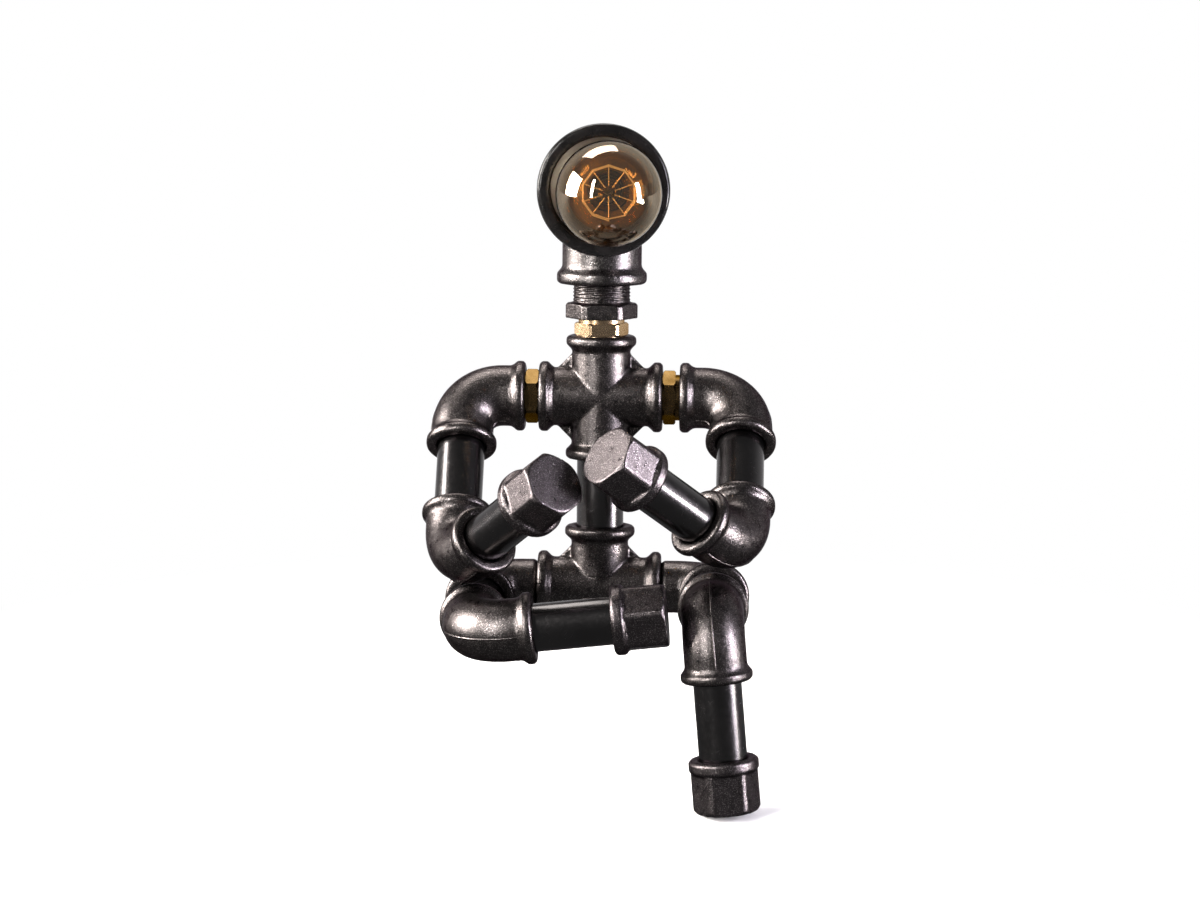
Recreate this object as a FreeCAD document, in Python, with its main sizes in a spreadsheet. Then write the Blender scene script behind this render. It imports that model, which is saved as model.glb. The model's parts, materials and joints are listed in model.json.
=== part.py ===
import FreeCAD, Part
import math
import os
import re
import Sketcher

# A seated robot figure made of threaded pipe fittings, with a round lamp for a head.
# Millimetres. The figure faces -Y, +Z is up, and left and right are those of someone who looks at its front.
# The origin is on the seat plane, under the middle of the pelvis tee.

Vector = FreeCAD.Vector
Constraint = Sketcher.Constraint

SIZES = (
    # Steel pipe and its threads
    ("pipe_radius", 10.65),
    ("pipe_bore_radius", 8.0),
    ("thread_radius", 10.4),
    ("thread_play", 0.05),
    ("thread_reach", 13.0),
    ("thread_chamfer", 0.8),
    ("socket_depth", 14.0),
    ("mouth_chamfer", 1.2),
    # Cast fittings
    ("centre_to_end", 28.0),
    ("bend_radius", 17.5),
    ("body_radius", 13.2),
    ("elbow_body_radius", 13.8),
    ("waterway_radius", 8.5),
    ("branch_step", 0.3),
    ("bead_radius", 15.9),
    ("bead_width", 5.0),
    ("bead_chamfer", 1.2),
    ("bead_slope", 1.6),
    ("cross_web_leg", 7.0),
    ("tee_web_leg", 5.7),
    ("web_thickness", 3.0),
    ("web_sink", 0.6),
    ("street_neck_radius", 11.9),
    ("street_neck_chamfer", 1.0),
    ("turning_gap", 0.3),
    ("corner_trim", 1.0),
    # Hexagonal end caps
    ("cap_length", 23.9),
    ("cap_flange_radius", 15.5),
    ("cap_flange_length", 6.0),
    ("cap_across_flats", 26.6),
    ("cap_corner_radius", 14.8),
    ("cap_end_radius", 13.3),
    ("cap_end_chamfer", 1.5),
    # Brass hexagon nipples
    ("brass_across_flats", 22.0),
    ("brass_corner_radius", 12.3),
    ("brass_corner_chamfer", 0.7),
    ("brass_hex_height", 5.6),
    ("brass_bore_radius", 7.5),
    # Visible lengths between two fittings
    ("torso_gap", 30.8),
    ("neck_gap", 8.0),
    ("shoulder_gap_left", 6.2),
    ("shoulder_gap_right", 7.8),
    ("upper_arm_gap", 32.0),
    ("forearm_gap", 34.5),
    ("thigh_gap", 27.8),
    ("shin_gap", 34.3),
    ("hip_reach", 24.7),
    # Posture, in degrees
    ("torso_lean_angle", 5.1),
    ("left_arm_swing_angle", 42.8),
    ("right_arm_swing_angle", 51.6),
    ("left_forearm_turn_angle", 56.8),
    ("right_forearm_turn_angle", 48.7),
    ("left_thigh_drop_angle", 1.2),
    ("right_thigh_drop_angle", -4.8),
    ("left_shin_turn_angle", 6.4),
    ("right_shin_turn_angle", 5.1),
    ("head_turn_angle", 2.9),
    ("left_hand_clock_angle", 18.9),
    ("right_hand_clock_angle", -20.2),
    ("left_foot_clock_angle", 10.9),
    ("right_foot_clock_angle", -4.7),
    ("neck_hex_clock_angle", 8.0),
    ("bushing_clock_angle", 3.0),
    # Neck bushing
    ("bushing_across_flats", 29.5),
    ("bushing_corner_radius", 16.3),
    ("bushing_corner_chamfer", 0.9),
    ("bushing_hex_height", 6.8),
    ("bushing_flare_radius", 14.4),
    ("bushing_flare_height", 0.8),
    ("bushing_thread_radius", 13.2),
    ("bushing_thread_depth", 1.1),
    ("bushing_thread_pitch", 1.6),
    ("bushing_thread_reach", 12.0),
    # Head: a reducing elbow
    ("head_reach", 40.0),
    ("head_drop", 44.3),
    ("head_body_radius", 26.0),
    ("head_wall", 5.5),
    ("head_bead_radius", 29.6),
    ("head_bead_width", 6.5),
    ("head_socket_wall", 2.4),
    ("head_socket_depth", 19.0),
    ("neck_body_radius", 18.0),
    ("neck_bead_radius", 20.4),
    ("neck_bead_width", 6.0),
    ("neck_waterway_radius", 11.0),
    # Lamp holder
    ("plate_thickness", 1.5),
    ("plate_play", 0.1),
    ("holder_shift", 2.2),
    ("holder_drop", 0.7),
    ("holder_radius", 12.0),
    ("holder_play", 0.2),
    ("holder_flange_margin", 1.8),
    ("holder_flange_thickness", 3.0),
    ("holder_length", 29.5),
    ("holder_mouth_radius", 9.6),
    ("holder_mouth_depth", 4.0),
    ("holder_back_wall", 5.5),
    ("shell_thickness", 0.5),
    ("shell_back_gap", 1.5),
    ("tongue_radius", 3.0),
    ("tongue_thickness", 0.6),
    ("screw_spacing_radius", 15.5),
    ("screw_radius", 1.5),
    ("screw_hole_radius", 1.7),
    ("screw_head_radius", 2.7),
    ("screw_head_height", 1.8),
    ("screw_length", 6.0),
    # Bulb
    ("bulb_cap_radius", 6.95),
    ("bulb_cap_play", 0.1),
    ("bulb_cap_wall", 0.5),
    ("bulb_cap_length", 19.0),
    ("bulb_cap_cone", 2.0),
    ("bulb_insulator_radius", 4.2),
    ("bulb_insulator_height", 2.0),
    ("bulb_contact_radius", 2.2),
    ("bulb_contact_height", 1.0),
    ("bulb_contact_gap", 0.3),
    ("globe_radius", 23.5),
    ("globe_front", 36.2),
    ("globe_wall", 0.8),
    ("globe_neck_radius", 9.5),
    ("globe_stub_gap", 0.5),
    ("globe_stub_length", 5.0),
    ("globe_stub_play", 0.1),
    ("stem_radius", 2.0),
    ("stem_flare_radius", 4.9),
    ("stem_length", 25.0),
    ("stem_flare_length", 8.0),
    ("stem_button_radius", 2.8),
    ("stem_button_length", 2.4),
    ("filament_radius", 12.0),
    ("filament_wire_radius", 0.3),
    ("filament_corners", 10),
    ("filament_depth", 11.0),
    ("support_wire_radius", 0.2),
    ("support_root_gap", 0.3),
    ("support_tip_gap", 0.15),
    # Wiring inside the figure
    ("lead_radius", 2.0),
    ("sleeve_length", 10.0),
    ("sleeve_play", 0.05),
    ("connector_width", 9.0),
    ("connector_height", 8.0),
    ("lead_back_offset", 11.0),
    ("lead_turn_drop", 26.0),
    ("lead_rise_drop", 12.0),
    # Cord gland at the back of the pelvis
    ("gland_drop", 3.0),
    ("gland_thread_radius", 4.9),
    ("gland_washer_radius", 7.5),
    ("gland_washer_thickness", 0.8),
    ("gland_crown_gap", 0.05),
    ("gland_thread_reach", 4.0),
    ("gland_across_flats", 14.0),
    ("gland_hex_height", 4.0),
    ("gland_neck_radius", 5.6),
    ("gland_neck_length", 6.0),
    ("gland_bore_radius", 3.6),
    ("gland_nut_gap", 0.3),
    ("gland_nut_wall", 2.5),
    ("gland_nut_end_radius", 5.4),
    ("gland_nut_round", 3.0),
    ("gland_nut_shoulder", 0.4),
    ("gland_seal_length", 2.0),
    ("gland_seal_bore_radius", 4.2),
)

doc = FreeCAD.newDocument("PipeRobotLamp")
sheet = doc.addObject("Spreadsheet::Sheet", "Sizes")
for row, (alias, number) in enumerate(SIZES, start=1):
    sheet.set("A%d" % row, alias.replace("_", " "))
    sheet.set("B%d" % row, str(number))
    sheet.setAlias("B%d" % row, alias)
doc.recompute()


def value(expression):
    """The number that an expression of the sheet's aliases gives."""
    return float(sheet.evalExpression(str(expression)))


def qualified(expression):
    """The same expression as another object of the document has to write it."""
    return re.sub(r"\b([a-z]\w*)\b(?!\()", r"Sizes.\1", str(expression))


def minus(expression):
    return "-(%s)" % expression


# Sketches and features

def new_body(label):
    body = doc.addObject("PartDesign::Body", label)
    body.Label = label
    return body


def new_sketch(body, name, plane, offset="0"):
    """An empty sketch on one of the body's own origin planes, moved along that plane's normal by offset."""
    sketch = body.newObject("Sketcher::SketchObject", name)
    planes = {feature.Role: feature for feature in body.Origin.OriginFeatures}
    sketch.AttachmentSupport = [(planes[plane], "")]
    sketch.MapMode = "FlatFace"
    if offset != "0":
        sketch.setExpression("AttachmentOffset.Base.z", qualified(offset))
    return sketch


def bind(sketch, index, name, expression):
    sketch.renameConstraint(index, name)
    sketch.setExpression("Constraints." + name, qualified(expression))


def pin_point(sketch, handle, name, place):
    """Hold one end of a sketch edge at two expressions, measured from the sketch's origin."""
    geometry, end = handle
    x, y = value(place[0]), value(place[1])
    if str(place[0]) == "0":
        sketch.addConstraint(Constraint("PointOnObject", geometry, end, -2))
    else:
        index = sketch.addConstraint(Constraint("DistanceX", -1, 1, geometry, end, x))
        bind(sketch, index, "x" + name, place[0])
    if str(place[1]) == "0":
        sketch.addConstraint(Constraint("PointOnObject", geometry, end, -1))
    else:
        index = sketch.addConstraint(Constraint("DistanceY", -1, 1, geometry, end, y))
        bind(sketch, index, "y" + name, place[1])


def draw_outline(sketch, corners):
    """A closed outline. A corner is (x, y), or (x, y, radius, side) where an arc runs to the next corner and
    side is 1 for an arc that turns left, -1 for one that turns right."""
    starts, ends = [], []
    for number, corner in enumerate(corners):
        after = corners[(number + 1) % len(corners)]
        first = Vector(value(corner[0]), value(corner[1]), 0)
        second = Vector(value(after[0]), value(after[1]), 0)
        if len(corner) == 2:
            edge = sketch.addGeometry(Part.LineSegment(first, second), False)
            starts.append((edge, 1))
            ends.append((edge, 2))
            continue
        radius, side = value(corner[2]), corner[3]
        chord = second - first
        rise = math.sqrt(max(radius ** 2 - (chord.Length / 2) ** 2, 0))
        normal = Vector(-chord.y, chord.x, 0).normalize()
        centre = (first + second) * 0.5 + normal * rise * side
        before, behind = (first, second) if side > 0 else (second, first)
        angles = [math.atan2(point.y - centre.y, point.x - centre.x) for point in (before, behind)]
        if angles[1] < angles[0]:
            angles[1] += 2 * math.pi
        circle = Part.Circle(centre, Vector(0, 0, 1), radius)
        edge = sketch.addGeometry(Part.ArcOfCircle(circle, angles[0], angles[1]), False)
        starts.append((edge, 1 if side > 0 else 2))
        ends.append((edge, 2 if side > 0 else 1))
        bind(sketch, sketch.addConstraint(Constraint("Radius", edge, radius)), "r%d" % number, corner[2])
    for number, corner in enumerate(corners):
        follower = starts[(number + 1) % len(corners)]
        sketch.addConstraint(Constraint("Coincident", *ends[number], *follower))
        pin_point(sketch, starts[number], str(number), corner)


def draw_circle(sketch, radius, place=("0", "0"), name="c"):
    centre = Vector(value(place[0]), value(place[1]), 0)
    edge = sketch.addGeometry(Part.Circle(centre, Vector(0, 0, 1), value(radius)), False)
    if place == ("0", "0"):
        sketch.addConstraint(Constraint("Coincident", edge, 3, -1, 1))
    else:
        pin_point(sketch, (edge, 3), name, place)
    bind(sketch, sketch.addConstraint(Constraint("Radius", edge, value(radius))), "r" + name, radius)


def finish_feature(body, before, cuts):
    """Recompute, and make sure that a cut took material away and an addition added some."""
    doc.recompute()
    change = body.Shape.Volume - before
    if (cuts and change >= 0) or (not cuts and change <= 0):
        raise RuntimeError("%s: feature %s changed the volume by %.3f" % (body.Label, body.Tip.Name, change))


def turn(body, name, corners, axis="H_Axis", plane="XZ_Plane", cuts=False):
    """A full turn of an outline about the sketch's horizontal or vertical axis."""
    before = body.Shape.Volume if body.Tip else 0
    sketch = new_sketch(body, name + "_outline", plane)
    draw_outline(sketch, corners)
    doc.recompute()
    feature = body.newObject("PartDesign::Groove" if cuts else "PartDesign::Revolution", name)
    feature.Profile = sketch
    feature.ReferenceAxis = (sketch, [axis])
    feature.Angle = 360
    finish_feature(body, before, cuts)


def pad(body, name, draw, plane, start, height, both_ways=False):
    """A pad of what draw puts in the sketch, from start along the plane's normal."""
    before = body.Shape.Volume if body.Tip else 0
    sketch = new_sketch(body, name + "_outline", plane, start)
    draw(sketch)
    doc.recompute()
    feature = body.newObject("PartDesign::Pad", name)
    feature.Profile = sketch
    feature.setExpression("Length", qualified(height))
    if both_ways:
        feature.Midplane = True
    finish_feature(body, before, False)


def hexagon(across_flats):
    """A drawing function for a hexagon with a corner on the sketch's horizontal axis."""
    corner = "(%s) / sqrt(3)" % across_flats
    half = "(%s) / 2 / sqrt(3)" % across_flats
    flat = "(%s) / 2" % across_flats
    corners = [(corner, "0"), (half, flat), (minus(half), flat),
               (minus(corner), "0"), (minus(half), minus(flat)), (half, minus(flat))]
    return lambda sketch: draw_outline(sketch, corners)


def trim_corners(body, name, axis, low, high, across_flats, corner_radius, chamfer, ends):
    """Turn the corners of a hexagon down to corner_radius, with a chamfer at the ends that ends names."""
    outside = "(%s) / sqrt(3) + corner_trim" % across_flats
    low_radius = "%s - (%s)" % (corner_radius, chamfer) if "low" in ends else corner_radius
    high_radius = "%s - (%s)" % (corner_radius, chamfer) if "high" in ends else corner_radius
    stations = [(low, outside), (low, low_radius)]
    if "low" in ends:
        stations.append(("%s + %s" % (low, chamfer), corner_radius))
    if "high" in ends:
        stations.append(("%s - (%s)" % (high, chamfer), corner_radius))
    stations += [(high, high_radius), (high, outside)]
    turn(body, name, along(axis, 1, stations), axis_of(axis), cuts=True)


def along(axis, sign, stations):
    """Turn (distance along a port, radius) pairs into sketch corners on the XZ plane."""
    flip = minus if sign < 0 else str
    if axis == "X":
        return [(flip(station[0]) if station[0] != "0" else "0", station[1]) for station in stations]
    return [(station[1], flip(station[0]) if station[0] != "0" else "0") for station in stations]


def axis_of(axis):
    return "H_Axis" if axis == "X" else "V_Axis"


# Ports of the cast fittings

def bead_stations(reach, radius, width, chamfer, slope, body):
    """A port's solid outline from its face back to where its bead has run out into the body."""
    return [
        ("%s - %s - %s" % (reach, width, slope), "0"),
        (reach, "0"),
        (reach, "%s - %s" % (radius, chamfer)),
        ("%s - %s" % (reach, chamfer), radius),
        ("%s - %s + %s" % (reach, width, chamfer), radius),
        ("%s - %s" % (reach, width), "%s - %s" % (radius, chamfer)),
        ("%s - %s - %s" % (reach, width, slope), body),
    ]


def socket_stations(reach, radius, depth):
    """The room for a pipe's threaded end, with a chamfered mouth."""
    return [
        ("%s - %s" % (reach, depth), "0"),
        (reach, "0"),
        (reach, "%s + mouth_chamfer" % radius),
        ("%s - mouth_chamfer" % reach, radius),
        ("%s - %s" % (reach, depth), radius),
    ]


def add_bead(body, axis, sign, wall):
    stations = bead_stations("centre_to_end", "bead_radius", "bead_width", "bead_chamfer", "bead_slope", wall)
    turn(body, "bead_%s%d" % (axis, sign > 0), along(axis, sign, stations), axis_of(axis))


def cut_socket(body, axis, sign):
    stations = socket_stations("centre_to_end", "thread_radius + thread_play", "socket_depth")
    turn(body, "socket_%s%d" % (axis, sign > 0), along(axis, sign, stations), axis_of(axis), cuts=True)


def bend_spine(body, name, first_reach):
    """The line through a bend: in along X from first_reach, round the arc, out along Z to its end."""
    sketch = new_sketch(body, name, "XZ_Plane")
    bend, end, first = value("bend_radius"), value("centre_to_end"), value(first_reach)
    inlet = sketch.addGeometry(Part.LineSegment(Vector(first, 0, 0), Vector(bend, 0, 0)), False)
    circle = Part.Circle(Vector(bend, bend, 0), Vector(0, 0, 1), bend)
    arc = sketch.addGeometry(Part.ArcOfCircle(circle, math.pi, 1.5 * math.pi), False)
    outlet = sketch.addGeometry(Part.LineSegment(Vector(0, bend, 0), Vector(0, end, 0)), False)
    sketch.addConstraint(Constraint("PointOnObject", inlet, 1, -1))
    sketch.addConstraint(Constraint("Horizontal", inlet))
    sketch.addConstraint(Constraint("PointOnObject", outlet, 2, -2))
    sketch.addConstraint(Constraint("Vertical", outlet))
    sketch.addConstraint(Constraint("Tangent", inlet, 2, arc, 2))
    sketch.addConstraint(Constraint("Tangent", arc, 1, outlet, 1))
    bind(sketch, sketch.addConstraint(Constraint("Radius", arc, bend)), "bend", "bend_radius")
    inlet_place = sketch.addConstraint(Constraint("DistanceX", -1, 1, inlet, 1, first))
    bind(sketch, inlet_place, "inlet", first_reach)
    outlet_place = sketch.addConstraint(Constraint("DistanceY", -1, 1, outlet, 2, end))
    bind(sketch, outlet_place, "outlet", "centre_to_end")
    return sketch


def sweep_bend(body, name, spine, first_reach, radius, cuts):
    before = body.Shape.Volume if body.Tip else 0
    ring = new_sketch(body, name + "_ring", "YZ_Plane", first_reach)
    draw_circle(ring, radius)
    doc.recompute()
    feature = body.newObject("PartDesign::SubtractivePipe" if cuts else "PartDesign::AdditivePipe", name)
    feature.Profile = ring
    feature.Spine = (spine, ["Edge1", "Edge2", "Edge3"])
    finish_feature(body, before, cuts)


def elbow(label):
    """A 90 degree elbow with its ports along +X and +Z."""
    body = new_body(label)
    spine = bend_spine(body, "spine", "centre_to_end")
    sweep_bend(body, "wall", spine, "centre_to_end", "elbow_body_radius", False)
    add_bead(body, "X", 1, "elbow_body_radius")
    add_bead(body, "Z", 1, "elbow_body_radius")
    sweep_bend(body, "waterway", spine, "centre_to_end", "waterway_radius", True)
    cut_socket(body, "X", 1)
    cut_socket(body, "Z", 1)
    return body


def street_elbow(label):
    """A 90 degree elbow with a male threaded end along +X and a socket along +Z."""
    body = new_body(label)
    male_end = "hip_reach + thread_reach"
    spine = bend_spine(body, "spine", male_end)
    wall_spine = bend_spine(body, "wall_spine", "hip_reach - 2 * turning_gap - street_neck_chamfer")
    sweep_bend(body, "wall", wall_spine, "hip_reach - 2 * turning_gap - street_neck_chamfer",
               "street_neck_radius", False)
    add_bead(body, "Z", 1, "street_neck_radius")
    turn(body, "male_thread", along("X", 1, [
        ("hip_reach - 2 * turning_gap - street_neck_chamfer", "0"),
        (male_end, "0"),
        (male_end, "thread_radius - thread_chamfer"),
        ("%s - thread_chamfer" % male_end, "thread_radius"),
        ("hip_reach - turning_gap", "thread_radius"),
        ("hip_reach - turning_gap", "street_neck_radius - street_neck_chamfer"),
        ("hip_reach - 2 * turning_gap - street_neck_chamfer", "street_neck_radius"),
    ]))
    sweep_bend(body, "waterway", spine, male_end, "pipe_bore_radius", True)
    cut_socket(body, "Z", 1)
    return body


def web_plate(body, name, corners):
    pad(body, name, lambda sketch: draw_outline(sketch, corners), "XZ_Plane", "0", "web_thickness", True)


def run_outline(axis):
    """A straight run through a fitting's centre with a bead at both ends."""
    half = bead_stations("centre_to_end", "bead_radius", "bead_width", "bead_chamfer", "bead_slope",
                         "body_radius")[1:]
    mirrored = [(minus(place), radius) for place, radius in reversed(half)]
    return along(axis, 1, half + mirrored)


def bore_outline(axis, both_ends):
    """The sockets and the waterway of a run, or of a branch that starts at the centre."""
    waterway = "waterway_radius" if both_ends else "waterway_radius - branch_step"
    half = [
        ("centre_to_end", "0"),
        ("centre_to_end", "thread_radius + thread_play + mouth_chamfer"),
        ("centre_to_end - mouth_chamfer", "thread_radius + thread_play"),
        ("centre_to_end - socket_depth", "thread_radius + thread_play"),
        ("centre_to_end - socket_depth", waterway),
    ]
    if both_ends:
        half += [(minus(place), radius) for place, radius in reversed(half)]
    else:
        half += [("0", waterway), ("0", "0")]
    return along(axis, 1, half)


def cross(label):
    """Four ports along +X, -X, +Z and -Z, with casting webs in the corners."""
    body = new_body(label)
    turn(body, "run_x", run_outline("X"), "H_Axis")
    turn(body, "run_z", run_outline("Z"), "V_Axis")
    far = "body_radius + cross_web_leg"
    near = "body_radius - web_sink"
    web_plate(body, "webs", [
        (far, near), (near, far), (minus(near), far), (minus(far), near),
        (minus(far), minus(near)), (minus(near), minus(far)), (near, minus(far)), (far, minus(near)),
    ])
    turn(body, "bore_x", bore_outline("X", True), "H_Axis", cuts=True)
    turn(body, "bore_z", bore_outline("Z", True), "V_Axis", cuts=True)
    return body


def tee(label):
    """A run along X with a branch along +Z, webs beside the branch and a tapped cord hole at the back."""
    body = new_body(label)
    turn(body, "run_x", run_outline("X"), "H_Axis")
    wall = "body_radius - branch_step"
    branch = [("0", "0")] + bead_stations("centre_to_end", "bead_radius", "bead_width", "bead_chamfer",
                                          "bead_slope", wall)[1:] + [("0", wall)]
    turn(body, "branch", along("Z", 1, branch), "V_Axis")
    far = "body_radius + tee_web_leg"
    near = "body_radius - web_sink"
    deep = "body_radius / 2"
    web_plate(body, "webs", [(far, near), (near, far), (minus(near), far), (minus(far), near),
                             (minus(far), deep), (far, deep)])
    turn(body, "bore_x", bore_outline("X", True), "H_Axis", cuts=True)
    turn(body, "bore_z", bore_outline("Z", False), "V_Axis", cuts=True)
    before = body.Shape.Volume
    sketch = new_sketch(body, "cord_circle", "XZ_Plane", minus("waterway_radius / 2"))
    draw_circle(sketch, "gland_thread_radius + thread_play", ("0", minus("gland_drop")))
    doc.recompute()
    hole = body.newObject("PartDesign::Pocket", "cord_hole")
    hole.Profile = sketch
    hole.setExpression("Length", qualified("body_radius"))
    finish_feature(body, before, True)
    return body


def nipple(label, gap):
    """A length of pipe with a threaded end each side of the stretch that shows, which starts at z = 0."""
    body = new_body(label)
    turn(body, "barrel", along("Z", 1, [
        ("-thread_reach", "pipe_bore_radius"),
        ("-thread_reach", "thread_radius - thread_chamfer"),
        ("-thread_reach + thread_chamfer", "thread_radius"),
        ("0", "thread_radius"),
        ("0", "pipe_radius"),
        (gap, "pipe_radius"),
        (gap, "thread_radius"),
        ("%s + thread_reach - thread_chamfer" % gap, "thread_radius"),
        ("%s + thread_reach" % gap, "thread_radius - thread_chamfer"),
        ("%s + thread_reach" % gap, "pipe_bore_radius"),
    ]), "V_Axis")
    return body


def hexagon_nipple(label):
    """A brass nipple: a hexagon just clear of the face at z = 0, and a threaded end each side of it."""
    body = new_body(label)
    top = "turning_gap + brass_hex_height"
    turn(body, "barrel", along("Z", 1, [
        ("-thread_reach", "0"),
        ("-thread_reach", "thread_radius - thread_chamfer"),
        ("-thread_reach + thread_chamfer", "thread_radius"),
        ("%s + thread_reach - thread_chamfer" % top, "thread_radius"),
        ("%s + thread_reach" % top, "thread_radius - thread_chamfer"),
        ("%s + thread_reach" % top, "0"),
    ]), "V_Axis")
    pad(body, "hexagon", hexagon("brass_across_flats"), "XY_Plane", "turning_gap", "brass_hex_height")
    trim_corners(body, "corners", "Z", "turning_gap", top, "brass_across_flats", "brass_corner_radius",
                 "brass_corner_chamfer", ("low", "high"))
    turn(body, "bore", along("Z", 1, [
        ("-thread_reach", "0"), ("%s + thread_reach" % top, "0"),
        ("%s + thread_reach" % top, "brass_bore_radius"), ("-thread_reach", "brass_bore_radius"),
    ]), "V_Axis", cuts=True)
    return body


def hexagon_cap(label):
    """A cap whose open face is at z = 0: a round flange, then a hexagon with a chamfered end."""
    body = new_body(label)
    turn(body, "flange", along("Z", 1, [
        ("0", "0"),
        ("0", "cap_flange_radius - bead_chamfer"),
        ("bead_chamfer", "cap_flange_radius"),
        ("cap_flange_length - bead_chamfer", "cap_flange_radius"),
        ("cap_flange_length", "cap_flange_radius - bead_chamfer"),
        ("cap_flange_length", "0"),
    ]), "V_Axis")
    pad(body, "hexagon", hexagon("cap_across_flats"), "XY_Plane", "cap_flange_length",
        "cap_length - cap_flange_length")
    outside = "cap_across_flats / sqrt(3) + corner_trim"
    turn(body, "corners", along("Z", 1, [
        ("cap_flange_length", outside),
        ("cap_flange_length", "cap_corner_radius"),
        ("cap_length - cap_end_chamfer", "cap_corner_radius"),
        ("cap_length", "cap_end_radius"),
        ("cap_length", outside),
    ]), "V_Axis", cuts=True)
    turn(body, "socket", along("Z", 1, [
        ("0", "0"),
        ("0", "thread_radius + thread_play + mouth_chamfer"),
        ("mouth_chamfer", "thread_radius + thread_play"),
        ("socket_depth", "thread_radius + thread_play"),
        ("socket_depth", "0"),
    ]), "V_Axis", cuts=True)
    return body


# The neck and the head, in a frame with the neck's axis along Z or the head's axis along X

VISIBLE_TURNS = 5
BUSHING_FACE = "bushing_hex_height + bushing_flare_height + %d * bushing_thread_pitch" % VISIBLE_TURNS


def bushing(label):
    """The reducing bushing: hexagon, flare, the turns of thread that show, and the thread inside the head."""
    body = new_body(label)
    foot = "bushing_hex_height + bushing_flare_height"
    stations = [("0", "0"), ("0", "bushing_flare_radius"),
                ("bushing_hex_height", "bushing_flare_radius"),
                (foot, "bushing_thread_radius - bushing_thread_depth")]
    for number in range(VISIBLE_TURNS):
        crest = "%s + %s * bushing_thread_pitch" % (foot, number + 0.5)
        root = "%s + %d * bushing_thread_pitch" % (foot, number + 1)
        stations.append((crest, "bushing_thread_radius"))
        stations.append((root, "bushing_thread_radius - bushing_thread_depth"))
    top = "%s + bushing_thread_reach" % BUSHING_FACE
    stations += [("%s + bushing_thread_depth" % BUSHING_FACE, "bushing_thread_radius"),
                 ("%s - thread_chamfer" % top, "bushing_thread_radius"),
                 (top, "bushing_thread_radius - thread_chamfer"), (top, "0")]
    turn(body, "barrel", along("Z", 1, stations), "V_Axis")
    pad(body, "hexagon", hexagon("bushing_across_flats"), "XY_Plane", "0", "bushing_hex_height")
    trim_corners(body, "corners", "Z", "0", "bushing_hex_height", "bushing_across_flats",
                 "bushing_corner_radius", "bushing_corner_chamfer", ("high",))
    turn(body, "bore", along("Z", 1, [
        ("0", "0"),
        ("0", "thread_radius + thread_play + mouth_chamfer"),
        ("mouth_chamfer", "thread_radius + thread_play"),
        ("socket_depth", "thread_radius + thread_play"),
        ("socket_depth", "waterway_radius"),
        (top, "waterway_radius"),
        (top, "0"),
    ]), "V_Axis", cuts=True)
    return body


HEAD_WATERWAY_RADIUS = "head_body_radius - head_wall"
HEAD_SOCKET_RADIUS = "head_body_radius - head_socket_wall"
HOLDER_FLANGE_RADIUS = "screw_spacing_radius + screw_hole_radius + holder_flange_margin"


def head_elbow(label):
    """The head: a wide mouth along +X, a round back, and the neck port along +Z."""
    body = new_body(label)
    mouth = bead_stations("head_reach", "head_bead_radius", "head_bead_width", "bead_chamfer",
                          "bead_slope * 2", "head_body_radius")[1:]
    turn(body, "barrel", along("X", 1, [("-head_body_radius", "0")] + mouth)
         + [("0", "head_body_radius", "head_body_radius", 1)], "H_Axis")
    neck = bead_stations("head_drop", "neck_bead_radius", "neck_bead_width", "bead_chamfer", "bead_slope",
                         "neck_body_radius")[1:]
    turn(body, "neck", along("Z", 1, [("0", "0")] + neck + [("0", "neck_body_radius")]), "V_Axis")
    turn(body, "mouth_bore", [
        (minus(HEAD_WATERWAY_RADIUS), "0"),
        ("head_reach", "0"),
        ("head_reach", HEAD_SOCKET_RADIUS + " + mouth_chamfer"),
        ("head_reach - mouth_chamfer", HEAD_SOCKET_RADIUS),
        ("head_reach - head_socket_depth", HEAD_SOCKET_RADIUS),
        ("head_reach - head_socket_depth", HEAD_WATERWAY_RADIUS),
        ("0", HEAD_WATERWAY_RADIUS, HEAD_WATERWAY_RADIUS, 1),
    ], "H_Axis", cuts=True)
    socket = "bushing_thread_radius + thread_play"
    turn(body, "neck_bore", along("Z", 1, [
        ("0", "0"),
        ("head_drop", "0"),
        ("head_drop", "%s + mouth_chamfer" % socket),
        ("head_drop - mouth_chamfer", socket),
        ("head_drop - socket_depth", socket),
        ("head_drop - socket_depth", "neck_waterway_radius"),
        ("0", "neck_waterway_radius"),
    ]), "V_Axis", cuts=True)
    return body


PLATE_BACK = "head_reach - head_socket_depth"
PLATE_FRONT = PLATE_BACK + " + plate_thickness"
HOLDER_FRONT = PLATE_FRONT + " + holder_flange_thickness"
HOLDER_BACK = HOLDER_FRONT + " - holder_length"
TONGUE_BACK = HOLDER_BACK + " + holder_back_wall"
BULB_BACK = TONGUE_BACK + " + tongue_thickness + bulb_contact_gap"
INSULATOR_BACK = BULB_BACK + " + bulb_contact_height"
CAP_BACK = INSULATOR_BACK + " + bulb_insulator_height"
CAP_FRONT = CAP_BACK + " + bulb_cap_length"
GLOBE_CENTRE = "head_reach + globe_front - globe_radius"
GLOBE_NECK = GLOBE_CENTRE + " - sqrt(globe_radius ^ 2 - globe_neck_radius ^ 2)"
STEM_BACK = CAP_FRONT + " - globe_stub_length"
STEM_FRONT = STEM_BACK + " + stem_length"


def drill(body, name, circles, low, high):
    """Holes along X, each drawn as a radius and the place of its centre."""
    before = body.Shape.Volume
    sketch = new_sketch(body, name + "_circles", "YZ_Plane", low)
    for number, (radius, centre) in enumerate(circles):
        draw_circle(sketch, radius, centre, "c%d" % number)
    doc.recompute()
    feature = body.newObject("PartDesign::Pocket", name)
    feature.Profile = sketch
    feature.setExpression("Length", qualified("%s - (%s)" % (high, low)))
    feature.Reversed = True
    finish_feature(body, before, True)


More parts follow.
